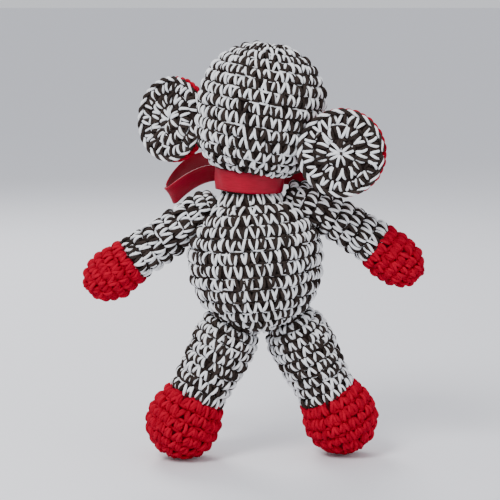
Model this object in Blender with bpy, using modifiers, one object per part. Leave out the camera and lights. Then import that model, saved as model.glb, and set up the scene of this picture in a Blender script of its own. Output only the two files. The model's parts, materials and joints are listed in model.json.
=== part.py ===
"""A crocheted monkey soft toy, standing, in metres with +Z up and the face towards -Y.

Each part of the toy is a crochet cover of even thickness with its own filling. The covers
are sewn together at the neck, ears, shoulders and hips, where the toy bends. A satin ribbon
is tied in a bow round the neck. The monkey's left side is +X.
"""

import math

import bmesh
import bpy
from mathutils import Matrix, Vector

# Fabric and clearances
GAP = 0.0003
WALL = 0.0024
SEWN_GAP = 0.0005
EAR_GAP = 0.0009
ROUND_STEPS = 24
LIMB_STEPS = 16
EAR_STEPS = 18
EGG_RINGS = 12
ARC_STEPS = 4
RIBBON_STEPS = 16

# The least spacing between the last point of a curve and the tube it runs into
POINT_SPACING = 0.0004

# How far a cutter runs on past the surface it cuts
CUT_PAST = 0.0100

# The toy's middle plane, from the front of the muzzle to the back of the body
MIDDLE_Y = 0.00504

# Body: an egg with its widest ring at the origin of its own frame
BODY_AT = Vector((-0.0007, MIDDLE_Y, 0.0996))
BODY_LEAN = math.radians(4.5)
BODY_RADIUS = 0.0332
BODY_TOP = 0.0315
BODY_BOTTOM = 0.0388
BODY_POWER = 2.2

# Head: an egg that is fuller below its widest ring, turned and tilted on the neck
HEAD_AT = Vector((-0.0036, MIDDLE_Y, 0.1685))
HEAD_TURN = math.radians(-24.0)
HEAD_TILT = math.radians(-9.4)
HEAD_RADIUS = 0.0314
HEAD_RING = 0.0020
HEAD_TOP = 0.0310
HEAD_BOTTOM = 0.0346
HEAD_TOP_POWER = 2.15
HEAD_BOTTOM_POWER = 2.9

# Neck, where the head's opening is sewn to the body's
NECK_RADIUS = 0.0150
NECK_DROP = 0.0330
NECK_ABOVE = 0.0100
PLANE_SIZE = 0.0300

# Ears: two flat rounds of crochet, back and front, held at their inner edge
EAR_RADIUS = 0.0202
EAR_LAYER = 0.0029
EAR_DISH = 0.0012
EAR_TOP = ((0.0, 1.0), (0.55, 1.05), (0.86, 1.0), (0.96, 0.8))
EAR_PROFILE = EAR_TOP + ((1.0, 0.45), (0.97, 0.0), (0.5, 0.0), (0.0, 0.0))
EAR_ROOT_ANGLE = math.radians(26.0)
EAR_CUP = math.radians(16.0)
EAR_HEIGHT = -0.0118
EAR_ROOT_OUT = {"left": -0.0042, "right": -0.0004}

# Face
MUZZLE_AT = Vector((0.0, -0.0265, -0.0095))
MUZZLE_SIZE = Vector((0.0205, 0.0170, 0.0150))
STITCH_RADIUS = 0.0008
MOUTH_HALF = 0.0120
MOUTH_DROP = 0.0030
MOUTH_CURVE = 0.0035
NOSTRIL_OUT = 0.0030
NOSTRIL_UP = 0.0062
NOSTRIL_HALF = 0.0014
EYE_ANGLE = math.radians(19.0)
EYE_HEIGHT = 0.0090
EYE_RADIUS = 0.0042
EYE_DOME = 0.0028
EYE_BACK = 0.0005
EYE_RIM = 0.0004
SHANK_RADIUS = 0.0015
SHANK_LENGTH = 0.0066
SHANK_HOLE = 0.0060
WASHER_RADIUS = 0.0045
WASHER_THICK = 0.0012
WASHER_DEPTH = 0.0037
POCKET_CLEAR = 0.0004
EYE_SPACE = 0.0040

# Arms, measured from the shoulder pivot along the arm. ARM_REACH is how much of it shapes the body
ARM_REACH = 0.034
ARM_ROOT = 0.0105
ARM_TUBE = ((0.0, 0.0105), (0.012, 0.0104), (0.028, 0.0110), (0.045, 0.0118))
HAND_CENTRE = 0.0535
HAND_RADIUS = 0.0129
HAND_HALF = 0.0160
WRIST = 0.0405
SHOULDERS = {
    "left": Vector((0.0233, MIDDLE_Y, 0.1204)),
    "right": Vector((-0.0223, MIDDLE_Y, 0.1253)),
}
ARM_OUT = {"left": math.radians(56.0), "right": math.radians(-66.0)}
ARM_BEND = {"left": math.radians(-1.0), "right": math.radians(20.0)}

# Legs, measured from the hip pivot along the leg. LEG_REACH is how much of it shapes the body
LEG_REACH = 0.024
LEG_ROOT = 0.0164
LEG_TUBE = ((0.0, 0.0164), (0.010, 0.0159), (0.022, 0.0149), (0.036, 0.0146))
LEG_LENGTH = 0.0452
FOOT_RADIUS = 0.0188
FOOT_HALF = 0.0192
ANKLE = 0.0300
ANKLE_WALL = 0.0040
HIPS = {
    "left": Vector((0.0134, MIDDLE_Y, 0.0583)),
    "right": Vector((-0.0221, MIDDLE_Y, 0.0585)),
}
FEET = {
    "left": Vector((0.0348, MIDDLE_Y + 0.0020, 0.0163)),
    "right": Vector((-0.0444, MIDDLE_Y - 0.0060, 0.0144)),
}

# Rings along a limb from its pivot to the middle of its ball
TUBE_STATIONS = 6

# The opening left at the sewn end of a sleeve, where the filling goes in
ROOT_OPENING = 0.0040

# Ribbon
RIBBON_WIDTH = 0.0100
RIBBON_THICK = 0.0005
COLLAR_AT = Vector((0.0020, MIDDLE_Y, 0.1356))
COLLAR_TILT = math.radians(-3.0)
COLLAR_RADIUS = 0.0161
COLLAR_CLEAR = 0.0011
KNOT_SIZE = Vector((0.0042, 0.0024, 0.0050))
KNOT_AT = Vector((0.0020, MIDDLE_Y - 0.0212, 0.1345))
LOOP_LENGTH = 0.0340
LOOP_HALF = 0.0070
LOOP_POWER = 0.35
LOOP_PINCH = 0.0008
LOOP_START = 0.0012
LOOP_DROOP = math.radians(2.0)
LOOP_LEAN = math.radians(35.0)
TAIL_LENGTH = 0.0300
TAIL_LIFT = 0.0024
TAIL_START = 0.0012
TAIL_FALL = 0.9
TAIL_SPLAY_TOP = math.radians(15.0)
TAIL_SPLAY = math.radians(16.0)
KNOT_OUT = 0.0215

MARL = (0.33, 0.32, 0.31)
RED_YARN = (0.62, 0.012, 0.035)
RED_SATIN = (0.60, 0.015, 0.030)
BLACK_PLASTIC = (0.012, 0.011, 0.012)
WHITE_FILLING = (0.88, 0.87, 0.84)

for old in list(bpy.data.objects):
    bpy.data.objects.remove(old)


def new_collection(name):
    made = bpy.data.collections.new(name)
    bpy.context.scene.collection.children.link(made)
    return made


PARTS = new_collection("crocheted_monkey")
CUTTERS = new_collection("cutters")


def new_material(name, colour, roughness):
    made = bpy.data.materials.new(name)
    made.use_nodes = True
    shader = made.node_tree.nodes["Principled BSDF"]
    shader.inputs["Base Color"].default_value = (*colour, 1.0)
    shader.inputs["Roughness"].default_value = roughness
    shader.inputs["Metallic"].default_value = 0.0
    made.diffuse_color = (*colour, 1.0)
    return made


MATERIALS = {
    "marl": new_material("marl_yarn", MARL, 0.95),
    "red": new_material("red_yarn", RED_YARN, 0.95),
    "satin": new_material("satin_ribbon", RED_SATIN, 0.35),
    "filling": new_material("polyester_filling", WHITE_FILLING, 1.0),
    "black": new_material("black_plastic", BLACK_PLASTIC, 0.15),
    "clear": new_material("white_plastic", WHITE_FILLING, 0.4),
}


def place(obj, matrix, parent=None):
    """Puts an object at a matrix that is given in its parent's frame."""
    obj.parent = parent
    obj.matrix_local = matrix
    return obj


def add_object(name, data, material=None):
    """Links a piece among the parts, or a helper among the cutters."""
    obj = bpy.data.objects.new(name, data)
    if material:
        PARTS.objects.link(obj)
        data.materials.append(MATERIALS[material])
    else:
        CUTTERS.objects.link(obj)
        obj.hide_render = True
        obj.display_type = "WIRE"
    return obj


def new_pivot(name, matrix, parent=None):
    """An empty whose origin is on a joint's axis."""
    pivot = bpy.data.objects.new(name, None)
    PARTS.objects.link(pivot)
    pivot.empty_display_size = 0.01
    return place(pivot, matrix, parent)


def turned(name, outline, steps, material=None, closed=False):
    """A solid turned about Z from an outline of (radius, height), top to bottom on its outer side."""
    mesh = bpy.data.meshes.new(name)
    points = [(radius, 0.0, height) for radius, height in outline]
    edges = [(i, i + 1) for i in range(len(points) - 1)]
    if closed:
        edges.append((len(points) - 1, 0))
    mesh.from_pydata(points, edges, [])
    obj = add_object(name, mesh, material)
    screw = obj.modifiers.new("turn", "SCREW")
    screw.steps = steps
    screw.render_steps = steps
    screw.use_merge_vertices = True
    screw.merge_threshold = 0.00001
    screw.use_smooth_shade = True
    return obj


def made_mesh(obj):
    """Turns an object's modifiers into its mesh."""
    graph = bpy.context.evaluated_depsgraph_get()
    mesh = bpy.data.meshes.new_from_object(obj.evaluated_get(graph))
    obj.modifiers.clear()
    obj.data = mesh
    return obj


def cut(obj, *cutters):
    for cutter in cutters:
        boolean = obj.modifiers.new("cut_" + cutter.name, "BOOLEAN")
        boolean.operation = "DIFFERENCE"
        boolean.solver = "EXACT"
        boolean.object = cutter
    return obj


def cylinder_outline(radius, top, bottom):
    return [(0.0, top), (radius, top), (radius, bottom), (0.0, bottom)]


def egg_outline(radius, top, bottom, top_power, bottom_power, rings=EGG_RINGS):
    """(radius, height) of a superelliptic egg from its top pole to its bottom pole."""
    outline = []
    for i in range(rings + 1):
        angle = math.pi * i / rings
        height, power = (top, top_power) if 2 * i <= rings else (bottom, bottom_power)
        along = height * abs(math.cos(angle)) ** (2 / power)
        out = radius * math.sin(angle) ** (2 / power) if 0 < i < rings else 0.0
        outline.append((out, math.copysign(along, math.cos(angle))))
    return outline


def body_outline(inset, neck_top):
    """The body's outline, moved in by inset, with the neck as a short tube up to neck_top."""
    outline = egg_outline(
        BODY_RADIUS - inset, BODY_TOP - inset, BODY_BOTTOM - inset, BODY_POWER, BODY_POWER
    )
    neck = NECK_RADIUS - inset
    below = [point for point in outline[len(outline) // 4 :] if point[0] > neck or point[1] < 0]
    share = 1 - (neck / (BODY_RADIUS - inset)) ** BODY_POWER
    start = (BODY_TOP - inset) * share ** (1 / BODY_POWER)
    kept = [point for point in below if point[1] < start - POINT_SPACING]
    return [(0.0, neck_top), (neck, neck_top), (neck, start)] + kept


def head_outline(inset, neck_end):
    """The head's outline, moved in by inset, with the neck as a short tube down to neck_end."""
    outline = egg_outline(
        HEAD_RADIUS - inset, HEAD_TOP - inset, HEAD_BOTTOM - inset, HEAD_TOP_POWER, HEAD_BOTTOM_POWER
    )
    neck = NECK_RADIUS - inset
    share = 1 - (neck / (HEAD_RADIUS - inset)) ** HEAD_BOTTOM_POWER
    start = -(HEAD_BOTTOM - inset) * share ** (1 / HEAD_BOTTOM_POWER)
    kept = [(r, z + HEAD_RING) for r, z in outline if z > start + POINT_SPACING]
    return kept + [(neck, start + HEAD_RING), (neck, neck_end), (0.0, neck_end)]


def limb_radius(along, tube, ball, inset):
    """A limb's radius at a distance along it: the larger of its tube and the ball at its end."""
    centre, radius, half = ball
    for (start, first), (end, last) in zip(tube, tube[1:]):
        if start <= along <= end:
            share = (along - start) / (end - start)
            share = share * share * (3 - 2 * share)
            here = first + (last - first) * share - inset
            break
    else:
        here = 0.0
    offset = (along - centre) / (half - inset)
    round_end = (radius - inset) * math.sqrt(1 - offset * offset) if abs(offset) < 1 else 0.0
    return max(here, round_end)


def limb_outline(root, tube, ball, inset=0.0):
    """(radius, height) of a whole limb that hangs down from its pivot, moved in by inset."""
    centre, _, half = ball
    outline = []
    for i in range(ARC_STEPS):
        angle = math.pi / 2 * i / ARC_STEPS
        outline.append(((root - inset) * math.sin(angle), (root - inset) * math.cos(angle)))
    for i in range(TUBE_STATIONS + 1):
        along = centre * i / TUBE_STATIONS
        outline.append((limb_radius(along, tube, ball, inset), -along))
    for i in range(1, ARC_STEPS + 1):
        angle = math.pi / 2 * i / ARC_STEPS
        out = (ball[1] - inset) * math.cos(angle) if i < ARC_STEPS else 0.0
        outline.append((out, -centre - (half - inset) * math.sin(angle)))
    return outline


def stretch_of(outline, top, bottom):
    """The stretch of an outline between two heights, with a point on it at each."""
    kept = []
    for (r0, z0), (r1, z1) in zip(outline, outline[1:]):
        for height in (top, bottom):
            if z1 <= height < z0:
                kept.append((r0 + (r1 - r0) * (z0 - height) / (z0 - z1), height))
        if bottom < z1 < top:
            kept.append((r1, z1))
    return sorted(kept, key=lambda point: -point[1])


def bent(obj, angle, length):
    """Bends a limb that hangs down from its pivot, evenly over its length, towards +X."""
    made_mesh(obj)
    if abs(angle) < 1e-6:
        return obj
    for vertex in obj.data.vertices:
        x, y, z = vertex.co
        turn = angle * max(-z / length, 0.0)
        middle_x = length / angle * (1 - math.cos(turn))
        middle_z = -length / angle * math.sin(turn)
        if z > 0:
            middle_x, middle_z, turn = 0.0, z, 0.0
        vertex.co = (middle_x + x * math.cos(turn), y, middle_z + x * math.sin(turn))
    return obj


def rotation(angle, axis):
    return Matrix.Rotation(angle, 4, axis)


BODY_FRAME = Matrix.Translation(BODY_AT) @ rotation(BODY_LEAN, "Y")
HEAD_ROTATION = rotation(HEAD_TILT, "Y") @ rotation(HEAD_TURN, "Z")
NECK_AT = HEAD_AT - HEAD_ROTATION.to_3x3() @ Vector((0, 0, NECK_DROP))
HEAD_FRAME = Matrix.Translation((0, 0, NECK_DROP))
ARM_BALL = (HAND_CENTRE, HAND_RADIUS, HAND_HALF)
LEG_BALL = (LEG_LENGTH, FOOT_RADIUS, FOOT_HALF)
ARM_LENGTH = HAND_CENTRE + HAND_HALF

NECK_PIVOT = new_pivot("neck_pivot", Matrix.Translation(NECK_AT) @ HEAD_ROTATION)


def arm_frame(side):
    """The arm's frame: its own -Z runs out along the arm at the shoulder."""
    return Matrix.Translation(SHOULDERS[side]) @ rotation(-ARM_OUT[side], "Y")


def leg_frame(side):
    """The leg's frame: its own -Z points from the hip to the middle of the foot."""
    up = (HIPS[side] - FEET[side]).normalized()
    return Matrix.Translation(HIPS[side]) @ up.to_track_quat("Z", "Y").to_matrix().to_4x4()


def limb_cutter(kind, side, grow, reach):
    """The space a limb's sewn end takes in the body, grown by a clearance."""
    root, tube, ball = (ARM_ROOT, ARM_TUBE, ARM_BALL) if kind == "arm" else (LEG_ROOT, LEG_TUBE, LEG_BALL)
    outline = stretch_of(limb_outline(root, tube, ball, -grow), 1.0, -reach)
    outline = [(0.0, root + grow)] + outline + [(0.0, -reach)]
    name = f"{kind}_space_{side}_{round(grow * 10000)}"
    cutter = turned(name, outline, LIMB_STEPS)
    if kind == "arm":
        bent(cutter, ARM_BEND[side], ARM_LENGTH)
    return place(cutter, arm_frame(side) if kind == "arm" else leg_frame(side))


def limb_cutters(grow):
    arms = [limb_cutter("arm", side, grow, ARM_REACH) for side in SHOULDERS]
    return arms + [limb_cutter("leg", side, grow, LEG_REACH) for side in HIPS]


def head_plane(clearance):
    """A block above the plane of the head's opening, which trims the body's neck parallel to it."""
    outline = cylinder_outline(PLANE_SIZE, PLANE_SIZE, -clearance)
    return place(turned("neck_plane", outline, LIMB_STEPS), Matrix(), NECK_PIVOT)


def make_body():
    plane = head_plane(GAP)
    core = turned("body_core", body_outline(WALL, BODY_TOP + NECK_ABOVE + CUT_PAST), ROUND_STEPS)
    cut(place(core, BODY_FRAME), *limb_cutters(SEWN_GAP + WALL))
    cover = turned("body_cover", body_outline(0.0, BODY_TOP + NECK_ABOVE), ROUND_STEPS, "marl")
    cut(place(cover, BODY_FRAME), *limb_cutters(SEWN_GAP), core, plane)
    inset = WALL + GAP
    filling = turned("body_stuffing", body_outline(inset, BODY_TOP + NECK_ABOVE), ROUND_STEPS, "filling")
    cut(place(filling, BODY_FRAME), *limb_cutters(SEWN_GAP + inset), plane)


def head_solid(name, inset, neck_end, material=None):
    obj = turned(name, head_outline(inset, neck_end), ROUND_STEPS, material)
    return place(obj, HEAD_FRAME, NECK_PIVOT)


def head_surface(angle, height):
    """A frame on the head at an angle round from the face, with its Z pointing out."""
    rise = height - HEAD_RING
    share = abs(rise) / HEAD_TOP
    radius = HEAD_RADIUS * (1 - share**HEAD_TOP_POWER) ** (1 / HEAD_TOP_POWER)
    slope = (share ** (HEAD_TOP_POWER - 1)) * (radius / HEAD_RADIUS) ** (1 - HEAD_TOP_POWER)
    outward = Vector((math.sin(angle), -math.cos(angle), slope * HEAD_RADIUS / HEAD_TOP))
    at = Vector((radius * math.sin(angle), -radius * math.cos(angle), height))
    facing = outward.normalized().to_track_quat("Z", "Y").to_matrix().to_4x4()
    return HEAD_FRAME @ Matrix.Translation(at) @ facing


def make_eye(side, sign, cover, filling):
    """A plastic eye: a dome with a shank through the cover, held by a washer inside it."""
    frame = head_surface(sign * EYE_ANGLE, EYE_HEIGHT)
    outline = []
    for i in range(ARC_STEPS + 1):
        angle = math.pi / 2 * i / ARC_STEPS
        out = EYE_RADIUS * math.sin(angle) if i else 0.0
        outline.append((out, EYE_BACK + EYE_RIM + EYE_DOME * math.cos(angle)))
    shank_end = EYE_BACK - SHANK_LENGTH
    outline += [(EYE_RADIUS, EYE_BACK), (SHANK_RADIUS, EYE_BACK)]
    outline += [(SHANK_RADIUS, shank_end), (0.0, shank_end)]
    place(turned(f"eye_{side}", outline, LIMB_STEPS, "black"), frame, NECK_PIVOT)
    inner = SHANK_RADIUS + GAP
    top = -WASHER_DEPTH
    ring = [(inner, top), (WASHER_RADIUS, top), (WASHER_RADIUS, top - WASHER_THICK)]
    ring.append((inner, top - WASHER_THICK))
    place(turned(f"eye_washer_{side}", ring, LIMB_STEPS, "clear", closed=True), frame, NECK_PIVOT)
    hole = turned(f"shank_hole_{side}", cylinder_outline(inner, EYE_SPACE, -SHANK_HOLE), LIMB_STEPS)
    pocket = cylinder_outline(WASHER_RADIUS + POCKET_CLEAR, EYE_SPACE, -SHANK_LENGTH - POCKET_CLEAR)
    pocket = turned(f"washer_pocket_{side}", pocket, LIMB_STEPS)
    cut(cover, place(hole, frame, NECK_PIVOT))
    cut(filling, place(pocket, frame, NECK_PIVOT))


def muzzle_solid(name, inset, material=None):
    """The muzzle's egg shape, moved in by inset."""
    mesh = bpy.data.meshes.new(name)
    shape = bmesh.new()
    bmesh.ops.create_uvsphere(shape, u_segments=ROUND_STEPS, v_segments=10, radius=1.0)
    bmesh.ops.scale(shape, vec=MUZZLE_SIZE - Vector((inset, inset, inset)), verts=shape.verts)
    shape.to_mesh(mesh)
    shape.free()
    mesh.shade_smooth()
    obj = add_object(name, mesh, material)
    return place(obj, HEAD_FRAME @ Matrix.Translation(MUZZLE_AT), NECK_PIVOT)


def on_muzzle(x, z, lift):
    """The point on the front of the muzzle at x and z from its middle, lifted off it."""
    size = MUZZLE_SIZE + Vector((lift, lift, lift))
    depth = math.sqrt(1 - (x / size.x) ** 2 - (z / size.z) ** 2)
    return Vector((x, -size.y * depth, z))


def yarn(name, points, radius, material):
    """A length of yarn through points, with filled ends."""
    curve = bpy.data.curves.new(name, "CURVE")
    curve.dimensions = "3D"
    spline = curve.splines.new("POLY")
    spline.points.add(len(points) - 1)
    for made, point in zip(spline.points, points):
        made.co = (*point, 1.0)
    curve.bevel_depth = radius
    curve.bevel_resolution = 1
    curve.use_fill_caps = True
    return add_object(name, curve, material)


def make_face():
    lift = STITCH_RADIUS + GAP
    muzzle_frame = HEAD_FRAME @ Matrix.Translation(MUZZLE_AT)
    mouth = []
    for i in range(13):
        x = MOUTH_HALF * (i / 6 - 1)
        z = -MOUTH_DROP - MOUTH_CURVE * (1 - (x / MOUTH_HALF) ** 2)
        mouth.append(on_muzzle(x, z, lift))
    place(yarn("mouth_stitching", mouth, STITCH_RADIUS, "black"), muzzle_frame, NECK_PIVOT)
    for side, sign in (("left", 1), ("right", -1)):
        points = []
        for i in range(3):
            offset = NOSTRIL_HALF * (i - 1)
            points.append(on_muzzle(sign * (NOSTRIL_OUT + offset), NOSTRIL_UP - 0.4 * offset, lift))
        stitch = yarn(f"nostril_stitch_{side}", points, STITCH_RADIUS, "black")
        place(stitch, muzzle_frame, NECK_PIVOT)


def make_head():
    core = head_solid("head_core", WALL, -NECK_DROP - CUT_PAST)
    cover = head_solid("head_cover", 0.0, -NECK_DROP, "marl")
    cut(cover, core)
    filling = head_solid("head_stuffing", WALL + GAP, -NECK_DROP, "filling")
    for side, sign in (("left", 1), ("right", -1)):
        make_eye(side, sign, cover, filling)
    near_head = head_solid("near_head", -GAP, -NECK_DROP - GAP)
    muzzle_core = muzzle_solid("muzzle_core", WALL)
    cut(muzzle_solid("muzzle_cover", 0.0, "red"), near_head, muzzle_core)
    cut(muzzle_solid("muzzle_stuffing", WALL + GAP, "filling"), near_head)
    make_face()


def ear_layer_outline(side):
    """One round of the ear, on the back (side 1) or the front (side -1) of the ear's middle plane."""
    middle = GAP / 2
    outline = []
    for share, rise in EAR_PROFILE:
        dish = -EAR_DISH * share * share
        outline.append((EAR_RADIUS * share, dish + side * (middle + EAR_LAYER * rise)))
    return outline if side > 0 else outline[::-1]


def make_ear(side, sign, near_head):
    """An ear that stands out from its root on the head and is cupped forwards."""
    share = (HEAD_RING - EAR_HEIGHT) / HEAD_BOTTOM
    radius = HEAD_RADIUS * (1 - share**HEAD_BOTTOM_POWER) ** (1 / HEAD_BOTTOM_POWER) + EAR_ROOT_OUT[side]
    root = Vector((sign * radius * math.cos(EAR_ROOT_ANGLE), radius * math.sin(EAR_ROOT_ANGLE), EAR_HEIGHT))
    frame = HEAD_FRAME @ Matrix.Translation(root) @ rotation(-sign * EAR_CUP, "Z")
    pivot = new_pivot(f"ear_pivot_{side}", frame, NECK_PIVOT)
    laid = Matrix.Translation((sign * EAR_RADIUS, 0, 0)) @ rotation(-math.pi / 2, "X")
    for name, facing, material in (("back", 1, "marl"), ("front", -1, "red")):
        layer = turned(f"ear_{name}_{side}", ear_layer_outline(facing), EAR_STEPS, material)
        cut(place(layer, laid, pivot), near_head)


def shell_loop(outer, inner):
    """The closed outline of a wall between an outer and an inner outline."""
    return outer + inner[::-1]


def limb_pieces(root, tube, ball, end):
    """The outlines of a limb's sleeve, open at both ends, and the whole outlines to split at end."""
    outer = limb_outline(root, tube, ball)
    inner = limb_outline(root, tube, ball, WALL)
    top = math.sqrt(root**2 - ROOT_OPENING**2)
    inner_top = math.sqrt((root - WALL) ** 2 - ROOT_OPENING**2)
    sleeve = shell_loop(stretch_of(outer, top, -end), stretch_of(inner, inner_top, -end))
    return sleeve, outer, inner


def make_arm(side):
    pivot = new_pivot(f"shoulder_pivot_{side}", arm_frame(side))
    loop, outer, inner = limb_pieces(ARM_ROOT, ARM_TUBE, ARM_BALL, WRIST)
    sleeve = turned(f"arm_sleeve_{side}", loop, LIMB_STEPS, "marl", closed=True)
    cup = stretch_of(inner, -WRIST - GAP, -1.0)[::-1] + stretch_of(outer, -WRIST - GAP, -1.0)
    hand = turned(f"hand_{side}", cup, LIMB_STEPS, "red")
    whole = limb_outline(ARM_ROOT, ARM_TUBE, ARM_BALL, WALL + GAP)
    filling = turned(f"arm_stuffing_{side}", whole, LIMB_STEPS, "filling")
    for piece in (sleeve, hand, filling):
        place(bent(piece, ARM_BEND[side], ARM_LENGTH), Matrix(), pivot)


def floor_block(name, height):
    """Everything below a height, which flattens a foot's sole."""
    mesh = bpy.data.meshes.new(name)
    shape = bmesh.new()
    bmesh.ops.create_cube(shape, size=0.2)
    bmesh.ops.translate(shape, vec=(0, 0, height - 0.1), verts=shape.verts)
    shape.to_mesh(mesh)
    shape.free()
    return add_object(name, mesh)


def make_leg(side):
    pivot = new_pivot(f"hip_pivot_{side}", leg_frame(side))
    loop, outer, inner = limb_pieces(LEG_ROOT, LEG_TUBE, LEG_BALL, ANKLE)
    sleeve = turned(f"leg_sleeve_{side}", loop, LIMB_STEPS, "marl", closed=True)
    place(sleeve, Matrix(), pivot)
    core = stretch_of(inner, ANKLE_WALL - ANKLE, -1.0)
    core = turned(f"foot_core_{side}", [(0.0, core[0][1])] + core, LIMB_STEPS)
    cut(place(core, Matrix(), pivot), floor_block(f"sole_{side}", WALL))
    outer = stretch_of(outer, -ANKLE - GAP, -1.0)
    foot = turned(f"foot_{side}", [(0.0, outer[0][1])] + outer, LIMB_STEPS, "red")
    cut(place(foot, Matrix(), pivot), core, floor_block(f"floor_{side}", 0.0))
    whole = limb_outline(LEG_ROOT, LEG_TUBE, LEG_BALL, WALL + GAP)
    filling = turned(f"leg_stuffing_{side}", whole, LIMB_STEPS, "filling")
    cut(place(filling, Matrix(), pivot), floor_block(f"sole_filling_{side}", WALL + GAP))


def ribbon_strip(name, points, matrix):
    """A strip of ribbon that stands on edge along points, its width along its own Z."""
    curve = bpy.data.curves.new(name, "CURVE")
    curve.dimensions = "3D"
    curve.twist_mode = "Z_UP"
    spline = curve.splines.new("POLY")
    spline.points.add(len(points) - 1)
    for made, point in zip(spline.points, points):
        made.co = (*point, 1.0)
    curve.extrude = RIBBON_WIDTH / 2
    obj = place(add_object(name, curve, "satin"), matrix)
    solid = obj.modifiers.new("thickness", "SOLIDIFY")
    solid.thickness = RIBBON_THICK
    solid.offset = 0.0
    return obj


def make_bow():
    mesh = bpy.data.meshes.new("ribbon_knot")
    shape = bmesh.new()
    bmesh.ops.create_uvsphere(shape, u_segments=LIMB_STEPS, v_segments=8, radius=1.0)
    bmesh.ops.scale(shape, vec=KNOT_SIZE, verts=shape.verts)
    shape.to_mesh(mesh)
    shape.free()
    place(add_object("ribbon_knot", mesh, "satin"), Matrix.Translation(KNOT_AT))
    for side, sign in (("left", 1), ("right", -1)):
        points = []
        for i in range(RIBBON_STEPS + 1):
            angle = math.pi * (2 * i / RIBBON_STEPS - 1)
            out = LOOP_LENGTH * (1 + math.cos(angle)) / 2
            swing = LOOP_HALF * math.sin(angle) * (out / LOOP_LENGTH) ** LOOP_POWER
            swing += math.copysign(LOOP_PINCH, angle)
            points.append((sign * (out + KNOT_SIZE.x + LOOP_START), swing, 0.0))
        droop = rotation(sign * LOOP_DROOP, "Y") @ rotation(LOOP_LEAN, "X")
        ribbon_strip(f"ribbon_loop_{side}", points, Matrix.Translation(KNOT_AT) @ droop)
        make_tail(side, sign)


def make_tail(side, sign):
    """A loose end of the ribbon, which hangs from the knot and lies on the belly."""
    mesh = bpy.data.meshes.new(f"ribbon_tail_{side}")
    shape = bmesh.new()
    bmesh.ops.create_grid(shape, x_segments=2, y_segments=8, size=0.5)
    for vertex in shape.verts:
        across = vertex.co.x * RIBBON_WIDTH
        drop = (0.5 - vertex.co.y) * TAIL_LENGTH
        height = KNOT_AT.z - KNOT_SIZE.z - TAIL_START - TAIL_FALL * drop
        rise = min(max(height - BODY_AT.z, 0.0) / BODY_TOP, 0.99)
        belly = BODY_RADIUS * (1 - rise**BODY_POWER) ** (1 / BODY_POWER)
        out = max(KNOT_OUT, belly + TAIL_LIFT)
        angle = sign * (TAIL_SPLAY_TOP + TAIL_SPLAY * drop / TAIL_LENGTH)
        side_way = Vector((math.cos(angle), math.sin(angle), 0.0))
        out_way = Vector((math.sin(angle), -math.cos(angle), 0.0))
        middle = Vector((KNOT_AT.x, MIDDLE_Y, height))
        vertex.co = middle + out_way * out + side_way * across
    shape.to_mesh(mesh)
    shape.free()
    tail = add_object(f"ribbon_tail_{side}", mesh, "satin")
    solid = tail.modifiers.new("thickness", "SOLIDIFY")
    solid.thickness = RIBBON_THICK
    solid.offset = 0.0


def make_collar():
    half = RIBBON_WIDTH / 2
    outer = COLLAR_RADIUS + RIBBON_THICK
    loop = [(COLLAR_RADIUS, half), (outer, half), (outer, -half), (COLLAR_RADIUS, -half)]
    collar = turned("ribbon_collar", loop, ROUND_STEPS, "satin", closed=True)
    place(collar, Matrix.Translation(COLLAR_AT) @ rotation(COLLAR_TILT, "Y"))
    under_head = head_solid("under_head", -SEWN_GAP, -NECK_DROP - GAP)
    cut(collar, under_head)
    turning = ARM_ROOT + COLLAR_CLEAR
    for side in SHOULDERS:
        ball = turned(f"shoulder_ball_{side}", egg_outline(turning, turning, turning, 2, 2), ROUND_STEPS)
        cut(collar, place(ball, Matrix.Translation(SHOULDERS[side])))


make_body()
make_head()
ears_clear = head_solid("ears_clear", -EAR_GAP, -NECK_DROP)
make_ear("left", 1, ears_clear)
make_ear("right", -1, ears_clear)
for limb_side in ("left", "right"):
    make_arm(limb_side)
    make_leg(limb_side)
make_collar()
make_bow()
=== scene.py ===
"""The looks of the crocheted monkey: every stitch is laid as plied yarn on the CAD's own forms."""

import json
import math

import bpy
import numpy as np
from mathutils import Matrix, Vector
from mathutils.bvhtree import BVHTree


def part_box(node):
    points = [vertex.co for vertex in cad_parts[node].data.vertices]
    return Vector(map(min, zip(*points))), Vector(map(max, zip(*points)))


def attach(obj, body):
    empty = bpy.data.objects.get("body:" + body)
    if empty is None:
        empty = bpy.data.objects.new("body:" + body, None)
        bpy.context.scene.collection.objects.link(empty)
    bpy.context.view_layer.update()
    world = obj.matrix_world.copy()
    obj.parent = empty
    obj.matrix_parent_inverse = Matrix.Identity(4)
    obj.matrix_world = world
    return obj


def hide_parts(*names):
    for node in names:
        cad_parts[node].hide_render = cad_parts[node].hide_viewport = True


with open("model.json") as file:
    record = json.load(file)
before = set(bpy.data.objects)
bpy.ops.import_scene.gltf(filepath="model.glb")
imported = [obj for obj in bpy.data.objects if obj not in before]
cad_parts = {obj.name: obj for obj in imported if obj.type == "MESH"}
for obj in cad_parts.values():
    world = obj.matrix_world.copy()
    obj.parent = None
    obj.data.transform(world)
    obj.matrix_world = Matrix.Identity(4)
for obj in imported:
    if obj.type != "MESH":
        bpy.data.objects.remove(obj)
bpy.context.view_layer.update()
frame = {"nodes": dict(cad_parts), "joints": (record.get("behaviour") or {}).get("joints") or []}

MM = 0.001
TAU = 2 * math.pi
JOINTS = {joint["name"]: joint for joint in frame["joints"]}

# The design's own axes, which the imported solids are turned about
BODY_AT = (-0.0007, 0.00504, 0.0996)
BODY_LEAN = math.radians(4.5)
ARM_OUT = {"left": math.radians(56.0), "right": math.radians(-66.0)}
ARM_BEND = {"left": math.radians(-1.0), "right": math.radians(20.0)}
ARM_LENGTH = 0.0695
FEET = {"left": (0.0348, 0.00704, 0.0163), "right": (-0.0444, -0.00096, 0.0144)}
SIDES = {"left": 1, "right": -1}

# Measuring a CAD form: how far out its rays start, and the reach to each side for its slope
RAY_REACH = 0.06
SLOPE_REACH = 0.0012

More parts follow.
